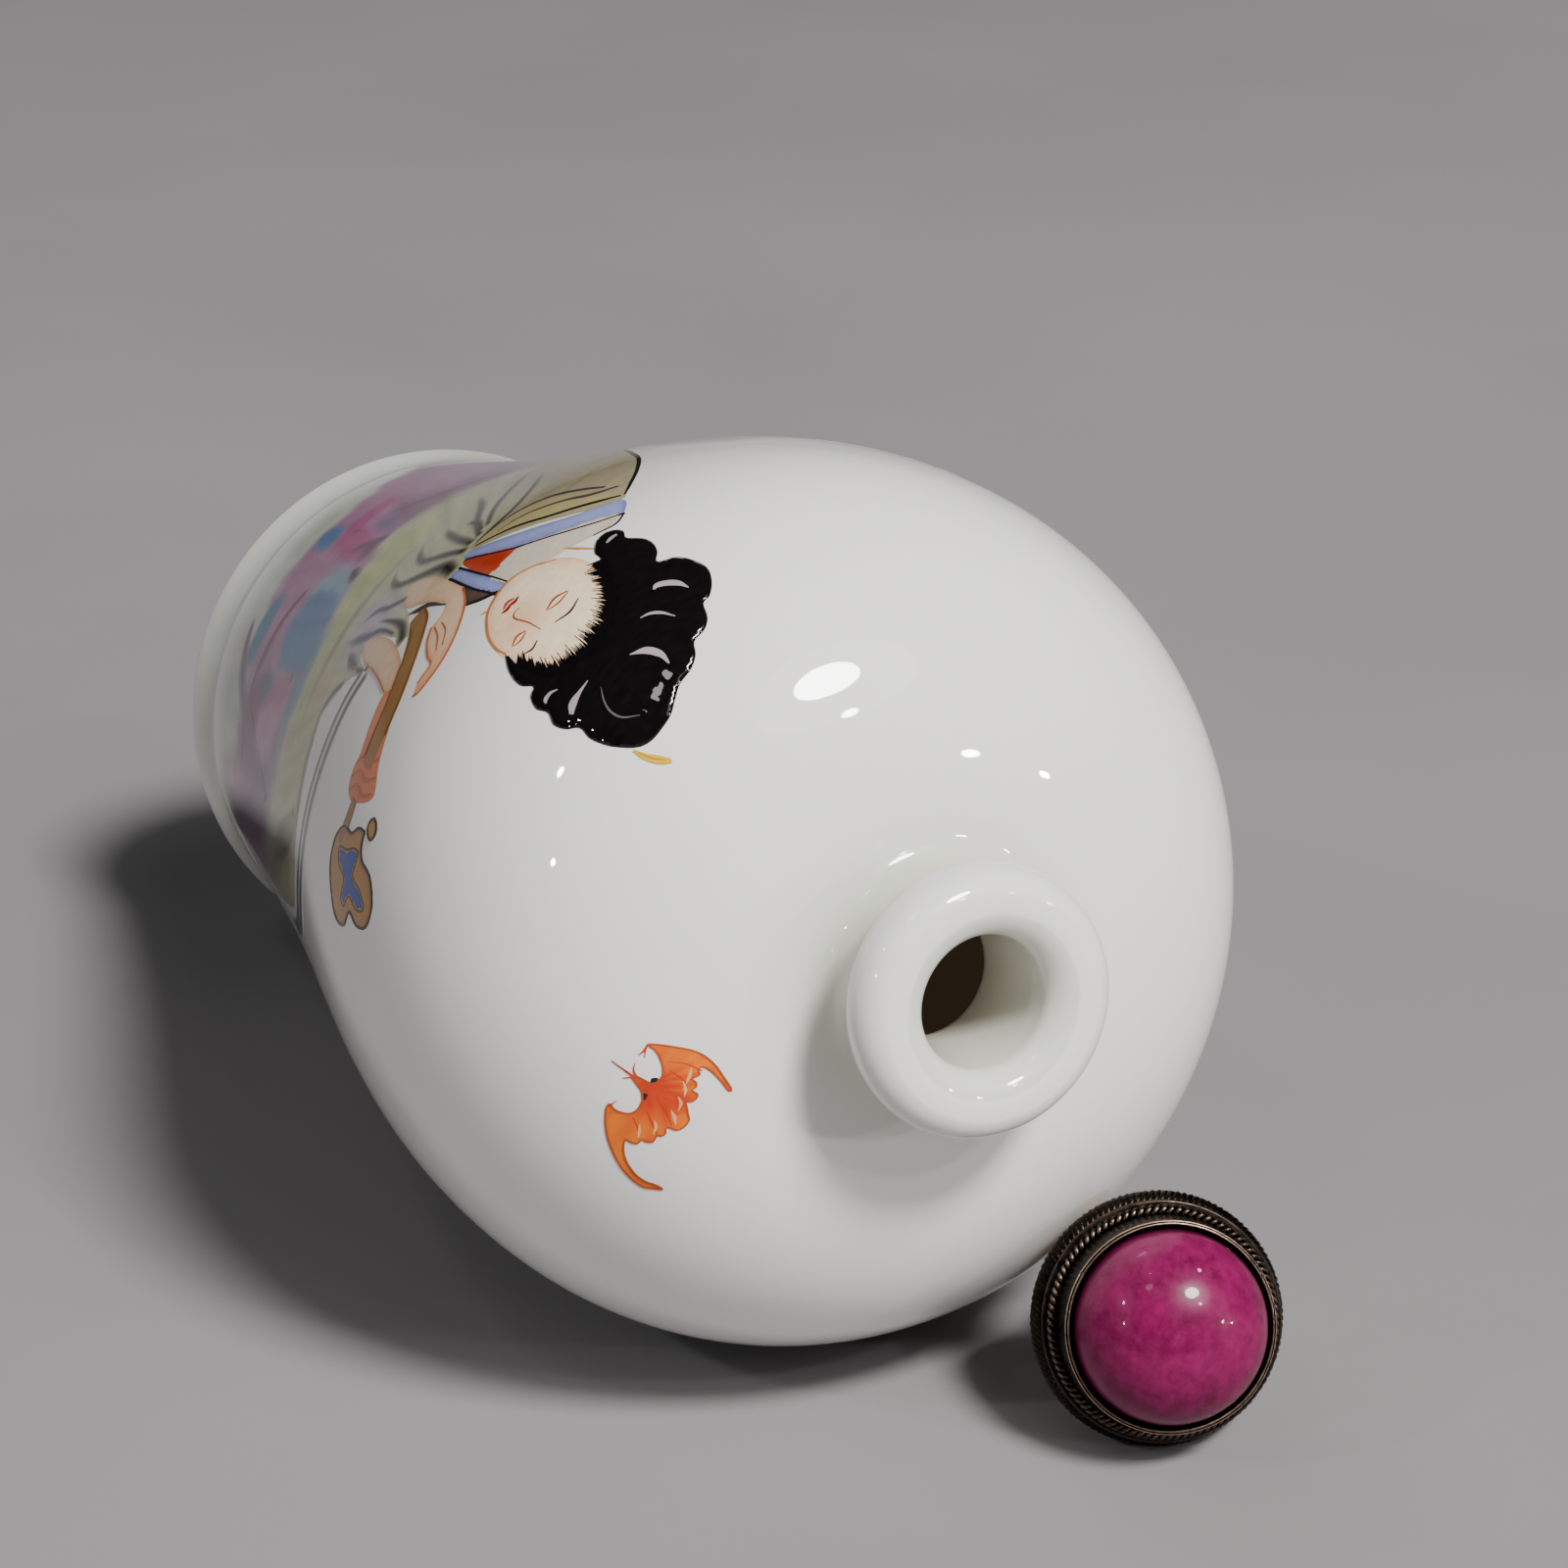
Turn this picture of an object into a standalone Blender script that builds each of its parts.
"""A small porcelain snuff bottle lying on its side, with its stopper off and lying beside the mouth.

Metres, +Z up, and the floor is z = 0. The bottle's axis runs in the XZ plane, foot towards -X and mouth
towards +X, and the belly touches the floor at the origin. Every turned piece is an outline of
(radius, height) points round its own Z axis, turned by a Screw modifier, and is then laid down on the
line that it rests on.
"""

import math

import bpy
import numpy as np
from mathutils import Matrix

MM = 0.001

# Bottle: the outside, measured from the plane that the foot stands on
FOOT_RADIUS = 17.13 * MM
FOOT_EDGE_ROUND = 0.4 * MM
FOOT_RING_WIDTH = 2.2 * MM
FOOT_RECESS = 1.2 * MM
FOOT_RECESS_SLOPE = 0.8 * MM
WAIST_DRAW_IN = 0.25 * MM
WAIST_HEIGHT = 4.25 * MM
BELLY_RADIUS = 25.0 * MM
BELLY_HEIGHT = 57.75 * MM
WAIST_FLARE = (4.04 * MM, 33.24 * MM)
BELLY_PULL = 11.34 * MM
SHOULDER_RISE = 19.86 * MM
SHOULDER_FULLNESS = 2.272
NECK_FILLET = 2.0 * MM
NECK_LENGTH = 4.87 * MM
LIP_OVERHANG = 1.115 * MM
LIP_SECTION_RADIUS = 1.82 * MM
LIP_HALF_HEIGHT = 1.91 * MM
LIP_UNDERCUT_ROUND = 0.35 * MM
LIP_SEAT_DEPTH = 0.08 * MM
LIP_SEAT_WIDTH = 0.8 * MM

# Bottle: the hollow
BORE_RADIUS = 3.5 * MM
NECK_WALL = 2.58 * MM
WALL = 2.2 * MM
BORE_INNER_ROUND = 1.0 * MM
FLOOR_THICKNESS = 3.0 * MM
FLOOR_CORNER = 5.0 * MM

# Stopper: cork, metal mount and stone, measured from the underside of the mount's collar
CORK_CLEARANCE = 0.2 * MM
CORK_LENGTH = 8.45 * MM
CORK_EDGE = 0.25 * MM
COLLAR_INSET = 0.24 * MM
BAND_WIRE_RADIUS = 0.7 * MM
COVE_HEIGHT = 0.55 * MM
COVE_DEPTH = 0.3 * MM
LEDGE_THICKNESS = 0.25 * MM
LEDGE_PROUD = 0.22 * MM
ROPE_WIRE_RADIUS = 0.3 * MM
BEZEL_HEIGHT = 2.09 * MM
BEZEL_WALL = 0.23 * MM
BEZEL_LEAN = 0.05 * MM
BEZEL_EDGE = 0.07 * MM
STONE_RADIUS = 5.2 * MM
STONE_SEAT_DEPTH = 2.2 * MM
STONE_EDGE = 0.3 * MM
STONE_GIRDLE_DROP = 0.4 * MM
STONE_DOME_HEIGHT = 3.9 * MM
STONE_FULLNESS = 2.1
JOINT_GAP = 0.3 * MM

# How the two things lie
REST_FLAT_DEPTH = 0.1 * MM
CUTTER_SHARE = 3
STOPPER_ASIDE = 11.6 * MM
STOPPER_YAW = math.radians(-18.3)
STOPPER_TO_BOTTLE = 0.4 * MM

# How finely the curves are divided
BOTTLE_STEPS = 48
STOPPER_STEPS = 36
CORK_STEPS = 24
FOOT_EDGE_POINTS = 3
WAIST_POINTS = 3
BODY_POINTS = 11
SHOULDER_POINTS = 10
NECK_FILLET_POINTS = 5
UNDERCUT_POINTS = 4
LIP_POINTS = 8
MOUTH_EDGE_POINTS = 5
BORE_END_POINTS = 3
FLOOR_CORNER_POINTS = 4
BAND_POINTS = 7
COVE_POINTS = 5
ROPE_POINTS = 6
DOME_POINTS = 9
MERGE_DISTANCE = 0.01 * MM

# Directions on an outline's arcs, in degrees: 0 is away from the axis and 90 is up
DOWN = -90
OUT = 0
UP = 90
AXIS_SIDE = 180
BAND_END = 60
ROPE_START = -75

# Sizes that follow from the ones above
WAIST_RADIUS = FOOT_RADIUS - WAIST_DRAW_IN
NECK_RADIUS = BORE_RADIUS + NECK_WALL
LIP_RADIUS = NECK_RADIUS + LIP_OVERHANG
LIP_CENTRE_RADIUS = LIP_RADIUS - LIP_SECTION_RADIUS
SHOULDER_HEIGHT = BELLY_HEIGHT + SHOULDER_RISE
LIP_CENTRE_HEIGHT = SHOULDER_HEIGHT + NECK_LENGTH
MOUTH_HEIGHT = LIP_CENTRE_HEIGHT + LIP_HALF_HEIGHT - LIP_SEAT_DEPTH
CORK_RADIUS = BORE_RADIUS - CORK_CLEARANCE
COLLAR_RADIUS = LIP_RADIUS - COLLAR_INSET
CUP_RADIUS = STONE_RADIUS + JOINT_GAP
BEZEL_RADIUS = CUP_RADIUS + BEZEL_WALL
LEDGE_BASE = 2 * BAND_WIRE_RADIUS + COVE_HEIGHT
ROPE_BASE = LEDGE_BASE + LEDGE_THICKNESS
BEZEL_BASE = ROPE_BASE + 2 * ROPE_WIRE_RADIUS
RIM_HEIGHT = BEZEL_BASE + BEZEL_HEIGHT
CUP_FLOOR = RIM_HEIGHT - STONE_SEAT_DEPTH


def outline_of(*stretches):
    """One array of (radius, height) points from single points and arrays of them."""
    return np.vstack([np.atleast_2d(np.asarray(s, float)) for s in stretches])


def arc(centre, radii, start_degrees, end_degrees, count):
    """Points on an ellipse's arc in the outline's plane, both ends included."""
    angle = np.radians(np.linspace(start_degrees, end_degrees, count))
    return np.column_stack([centre[0] + radii[0] * np.cos(angle), centre[1] + radii[1] * np.sin(angle)])


def rounded_corner(start, corner, end, count):
    """A curve from start to end that heads for the corner and leaves it, both ends included."""
    t = np.linspace(0, 1, count)[:, None]
    start, corner, end = (np.asarray(p, float) for p in (start, corner, end))
    return (1 - t) ** 2 * start + 2 * t * (1 - t) * corner + t**2 * end


def inward(points, distance):
    """The outline's points moved towards the axis side, square to the outline."""
    along = np.gradient(points, axis=0)
    along /= np.linalg.norm(along, axis=1)[:, None]
    outward = np.column_stack([along[:, 1], -along[:, 0]])
    return points - distance * outward


def foot_outline():
    """From the middle of the recessed base to the foot's outer edge."""
    ring_inner = FOOT_RADIUS - FOOT_RING_WIDTH
    edge_centre = (FOOT_RADIUS - FOOT_EDGE_ROUND, FOOT_EDGE_ROUND)
    edge = arc(edge_centre, (FOOT_EDGE_ROUND, FOOT_EDGE_ROUND), DOWN, OUT, FOOT_EDGE_POINTS)
    return outline_of(
        (0, FOOT_RECESS),
        (ring_inner - FOOT_RECESS_SLOPE, FOOT_RECESS),
        (ring_inner, 0),
        edge,
    )


def waist_outline(count=WAIST_POINTS):
    """From above the foot's edge to just under the waist, drawn in a little."""
    t = np.linspace(0, 1, count + 2)[1:-1]
    ease = (1 - np.cos(math.pi * t)) / 2
    height = FOOT_EDGE_ROUND + (WAIST_HEIGHT - FOOT_EDGE_ROUND) * t
    return np.column_stack([FOOT_RADIUS - WAIST_DRAW_IN * ease, height])


def body_outline(count=BODY_POINTS):
    """The long curve from the waist to the belly's widest point."""
    waist = np.array((WAIST_RADIUS, WAIST_HEIGHT))
    belly = np.array((BELLY_RADIUS, BELLY_HEIGHT))
    above_waist = waist + WAIST_FLARE
    below_belly = belly - (0, BELLY_PULL)
    t = np.linspace(0, 1, count)[:, None]
    ends = (1 - t) ** 3 * waist + t**3 * belly
    return ends + 3 * t * (1 - t) ** 2 * above_waist + 3 * t**2 * (1 - t) * below_belly


def shoulder_outline(count=SHOULDER_POINTS):
    """The full round shoulder above the belly, as far in as the neck's fillet."""
    reach = BELLY_RADIUS - NECK_RADIUS
    power = 2 / SHOULDER_FULLNESS
    last = math.acos((NECK_FILLET / reach) ** (1 / power))
    t = np.linspace(0, last, count + 1)[1:]
    radius = NECK_RADIUS + reach * np.cos(t) ** power
    return np.column_stack([radius, BELLY_HEIGHT + SHOULDER_RISE * np.sin(t) ** power])


def neck_outline():
    """The hollow curve from the shoulder up the neck to the lip's underside."""
    start = shoulder_outline()[-1]
    corner = (NECK_RADIUS, SHOULDER_HEIGHT)
    fillet_top = (NECK_RADIUS, SHOULDER_HEIGHT + NECK_FILLET)
    fillet = rounded_corner(start, corner, fillet_top, NECK_FILLET_POINTS)[1:]
    lip_start = lip_outline()[0]
    across = (NECK_RADIUS - LIP_CENTRE_RADIUS) / LIP_SECTION_RADIUS
    under_lip = LIP_CENTRE_HEIGHT - LIP_HALF_HEIGHT * math.sqrt(1 - across**2)
    below = (NECK_RADIUS, under_lip - LIP_UNDERCUT_ROUND)
    undercut = rounded_corner(below, (NECK_RADIUS, under_lip), lip_start, UNDERCUT_POINTS)[:-1]
    return outline_of(fillet, undercut)


def lip_outline(count=LIP_POINTS):
    """The rolled lip's outer side, from its underside to the flat seat on its crown."""
    start = (NECK_RADIUS + LIP_UNDERCUT_ROUND - LIP_CENTRE_RADIUS) / LIP_SECTION_RADIUS
    crown = math.degrees(math.asin(1 - LIP_SEAT_DEPTH / LIP_HALF_HEIGHT))
    return arc(
        (LIP_CENTRE_RADIUS, LIP_CENTRE_HEIGHT),
        (LIP_SECTION_RADIUS, LIP_HALF_HEIGHT),
        -math.degrees(math.acos(start)),
        crown,
        count,
    )


def mouth_outline():
    """From the seat's inner edge over the round inner edge of the lip and down the bore."""
    round_radius = lip_outline()[-1][0] - LIP_SEAT_WIDTH - BORE_RADIUS
    centre = (BORE_RADIUS + round_radius, MOUTH_HEIGHT - round_radius)
    inner_edge = arc(centre, (round_radius, round_radius), UP, AXIS_SIDE, MOUTH_EDGE_POINTS)
    ceiling = SHOULDER_HEIGHT - WALL
    bore_end = rounded_corner(
        (BORE_RADIUS, ceiling + BORE_INNER_ROUND),
        (BORE_RADIUS, ceiling),
        (BORE_RADIUS + BORE_INNER_ROUND, ceiling),
        BORE_END_POINTS,
    )
    return outline_of(inner_edge, bore_end)


def hollow_outline():
    """From the underside of the shoulder down the inner wall to the middle of the inner floor."""
    wall = inward(outline_of(body_outline(), shoulder_outline()), WALL)
    floor = FOOT_RECESS + FLOOR_THICKNESS
    wall = wall[wall[:, 1] > floor + FLOOR_CORNER]
    foot_wall = wall[0][0]
    corner = rounded_corner(
        (foot_wall, floor + FLOOR_CORNER),
        (foot_wall, floor),
        (foot_wall - FLOOR_CORNER, floor),
        FLOOR_CORNER_POINTS,
    )
    return outline_of(wall[::-1], corner, (0, floor))


def bottle_outside():
    return outline_of(
        foot_outline(), waist_outline(), body_outline(), shoulder_outline(), neck_outline(), lip_outline()
    )


def cork_outline():
    """From the plug's end to the middle of its top."""
    end = -JOINT_GAP - CORK_LENGTH
    return outline_of(
        (0, end),
        (CORK_RADIUS - CORK_EDGE, end),
        (CORK_RADIUS, end + CORK_EDGE),
        (CORK_RADIUS, -JOINT_GAP),
        (0, -JOINT_GAP),
    )


def mount_outside():
    """Round collar band, cove, thin ledge, twisted-wire band and the wall that holds the stone."""
    band_centre = (COLLAR_RADIUS - BAND_WIRE_RADIUS, BAND_WIRE_RADIUS)
    band = arc(band_centre, (BAND_WIRE_RADIUS, BAND_WIRE_RADIUS), DOWN, BAND_END, BAND_POINTS)
    rope_radius = BEZEL_RADIUS + ROPE_WIRE_RADIUS
    ledge_radius = rope_radius + ROPE_WIRE_RADIUS + LEDGE_PROUD
    cove_radius = min(band[-1][0], ledge_radius) - 2 * COVE_DEPTH
    cove_middle = (band[-1][1] + LEDGE_BASE) / 2
    cove_end = (ledge_radius, LEDGE_BASE)
    cove = rounded_corner(band[-1], (cove_radius, cove_middle), cove_end, COVE_POINTS)[1:]
    rope_centre = (rope_radius, ROPE_BASE + ROPE_WIRE_RADIUS)
    rope = arc(rope_centre, (ROPE_WIRE_RADIUS, ROPE_WIRE_RADIUS), ROPE_START, UP, ROPE_POINTS)
    return outline_of(
        (0, 0),
        band,
        cove,
        (ledge_radius, ROPE_BASE),
        rope,
        (BEZEL_RADIUS + BEZEL_LEAN, BEZEL_BASE),
        (BEZEL_RADIUS, RIM_HEIGHT - BEZEL_EDGE),
        (BEZEL_RADIUS - BEZEL_EDGE, RIM_HEIGHT),
    )


def mount_outline():
    return outline_of(mount_outside(), (CUP_RADIUS, RIM_HEIGHT), (CUP_RADIUS, CUP_FLOOR), (0, CUP_FLOOR))


def stone_outline(count=DOME_POINTS):
    """A cabochon with a short upright girdle, standing in its cup."""
    base = CUP_FLOOR + JOINT_GAP
    girdle = RIM_HEIGHT - STONE_GIRDLE_DROP
    power = 2 / STONE_FULLNESS
    t = np.linspace(0, math.pi / 2, count)
    across = STONE_RADIUS * np.cos(t) ** power
    across[-1] = 0
    dome = np.column_stack([across, girdle + (STONE_GIRDLE_DROP + STONE_DOME_HEIGHT) * np.sin(t) ** power])
    return outline_of((0, base), (STONE_RADIUS - STONE_EDGE, base), (STONE_RADIUS, base + STONE_EDGE), dome)


def resting_line(outline):
    """The two points of the longest straight line that touches the outline from outside."""
    longest = (0, None, None)
    for i, low in enumerate(outline):
        for high in outline[i + 1 :]:
            along = high - low
            length = np.linalg.norm(along)
            if length <= longest[0] or along[1] <= 0:
                continue
            inside = along[0] * (outline[:, 1] - low[1]) - along[1] * (outline[:, 0] - low[0])
            if inside.min() > -length * MERGE_DISTANCE:
                longest = (length, low, high)
    return longest[1], longest[2]


def rotation_of(tilt, yaw):
    """The matrix that turns a piece's own Z to yaw and tilt, and its own X straight down beside it."""
    turn = math.pi / 2 - tilt
    about_y = Matrix.Rotation(turn, 3, "Y")
    about_z = Matrix.Rotation(yaw, 3, "Z")
    return np.array(about_z @ about_y)


class Lying:
    """How a turned piece lies: tilt, yaw and the place of its own origin."""

    def __init__(self, outline, touches, yaw=0.0):
        low, high = resting_line(outline)
        self.tilt = math.atan2(high[0] - low[0], high[1] - low[1])
        self.yaw = yaw
        self.rotation = rotation_of(self.tilt, yaw)
        self.contact = self.rotation @ (high[0], 0, high[1])
        self.place = np.asarray(touches, float) - self.contact

    def put(self, obj):
        obj.rotation_euler = (0, math.pi / 2 - self.tilt, self.yaw)
        obj.location = self.place

    def own(self, points):
        """World points in the piece's own frame."""
        return (points - self.place) @ self.rotation

    def world(self, points):
        return points @ self.rotation.T + self.place


def distance_outside(points, outline):
    """How far each point of the turned outline's own frame is outside it, negative inside."""
    flat = np.column_stack([np.hypot(points[:, 0], points[:, 1]), points[:, 2]])
    start, along = outline[:-1], np.diff(outline, axis=0)
    offset = flat[:, None] - start
    share = (offset * along).sum(2) / np.maximum((along**2).sum(1), MERGE_DISTANCE**2)
    nearest = np.linalg.norm(offset - np.clip(share, 0, 1)[..., None] * along, axis=2).min(1)
    within = (flat[:, 1] > outline[0][1]) & (flat[:, 1] < outline[-1][1])
    inside = within & (flat[:, 0] < np.interp(flat[:, 1], outline[:, 1], outline[:, 0]))
    return np.where(inside, -nearest, nearest)


def stopper_lying(bottle):
    """The stopper lies to one side, as near the bottle along X as its set distance lets it."""
    outline = outline_of(cork_outline()[:-1], mount_outside()[1:])
    angle = np.linspace(0, 2 * math.pi, STOPPER_STEPS, endpoint=False)
    rings = [
        np.column_stack([r * np.cos(angle), r * np.sin(angle), np.full(STOPPER_STEPS, z)]) for r, z in outline
    ]
    surface = np.vstack(rings)
    outside = bottle_outside()
    near, far = 0.0, 2 * MOUTH_HEIGHT
    while far - near > MERGE_DISTANCE:
        middle = (near + far) / 2
        lying = Lying(outline, (middle, STOPPER_ASIDE, 0), STOPPER_YAW)
        gap = distance_outside(bottle.own(lying.world(surface)), outside).min()
        near, far = (middle, far) if gap < STOPPER_TO_BOTTLE else (near, middle)
    return Lying(outline, (far, STOPPER_ASIDE, 0), STOPPER_YAW)


def material(name, color, roughness, metallic=0.0, coat=0.0):
    made = bpy.data.materials.new(name)
    made.use_nodes = True
    shader = made.node_tree.nodes["Principled BSDF"]
    shader.inputs["Base Color"].default_value = (*color, 1)
    shader.inputs["Roughness"].default_value = roughness
    shader.inputs["Metallic"].default_value = metallic
    shader.inputs["Coat Weight"].default_value = coat
    return made


def collection(name):
    made = bpy.data.collections.new(name)
    bpy.context.scene.collection.children.link(made)
    return made


def turned(name, outline, steps, home, finish):
    """A closed piece turned from an outline that starts and ends on the axis."""
    profile = outline[::-1]
    points = [(r, 0, z) for r, z in profile]
    edges = [(i, i + 1) for i in range(len(points) - 1)]
    mesh = bpy.data.meshes.new(name)
    mesh.from_pydata(points, edges, [])
    mesh.materials.append(finish)
    obj = bpy.data.objects.new(name, mesh)
    home.objects.link(obj)
    screw = obj.modifiers.new("Turn", "SCREW")
    screw.steps = steps
    screw.render_steps = steps
    screw.use_merge_vertices = True
    screw.merge_threshold = MERGE_DISTANCE
    screw.use_smooth_shade = True
    return obj


def floor_cutter(home):
    """A block whose top is the floor, to cut the small flats that the bottle rests on."""
    side = CUTTER_SHARE * MOUTH_HEIGHT
    bpy.ops.mesh.primitive_cube_add(size=side, location=(0, 0, -side / 2))
    cutter = bpy.context.object
    cutter.name = "floor_cutter"
    for other in cutter.users_collection:
        other.objects.unlink(cutter)
    home.objects.link(cutter)
    cutter.hide_render = True
    cutter.display_type = "WIRE"
    return cutter


def make_bottle(home, cutter, lying):
    outline = outline_of(bottle_outside(), mouth_outline(), hollow_outline())
    porcelain = material("white_glazed_porcelain", (0.80, 0.81, 0.78), 0.12, coat=1.0)
    bottle = turned("bottle", outline, BOTTLE_STEPS, home, porcelain)
    lying.put(bottle)
    flats = bottle.modifiers.new("Resting flats", "BOOLEAN")
    flats.operation = "DIFFERENCE"
    flats.solver = "EXACT"
    flats.object = cutter
    return bottle


def make_stopper(home, lying):
    axis = bpy.data.objects.new("stopper_axis", None)
    home.objects.link(axis)
    lying.put(axis)
    metal = material("aged_copper_alloy", (0.16, 0.10, 0.06), 0.38, metallic=1.0)
    stone = material("magenta_stone", (0.31, 0.012, 0.105), 0.15, coat=1.0)
    cork = material("cork", (0.45, 0.27, 0.13), 0.85)
    pieces = [
        turned("stopper_mount", mount_outline(), STOPPER_STEPS, home, metal),
        turned("cabochon", stone_outline(), STOPPER_STEPS, home, stone),
        turned("cork_plug", cork_outline(), CORK_STEPS, home, cork),
    ]
    for piece in pieces:
        piece.parent = axis


def main():
    for old in list(bpy.data.objects):
        bpy.data.objects.remove(old)
    home = collection("snuff_bottle")
    cutter = floor_cutter(collection("cutters"))
    bottle_lying = Lying(bottle_outside(), (0, 0, -REST_FLAT_DEPTH))
    make_bottle(home, cutter, bottle_lying)
    make_stopper(home, stopper_lying(bottle_lying))


main()
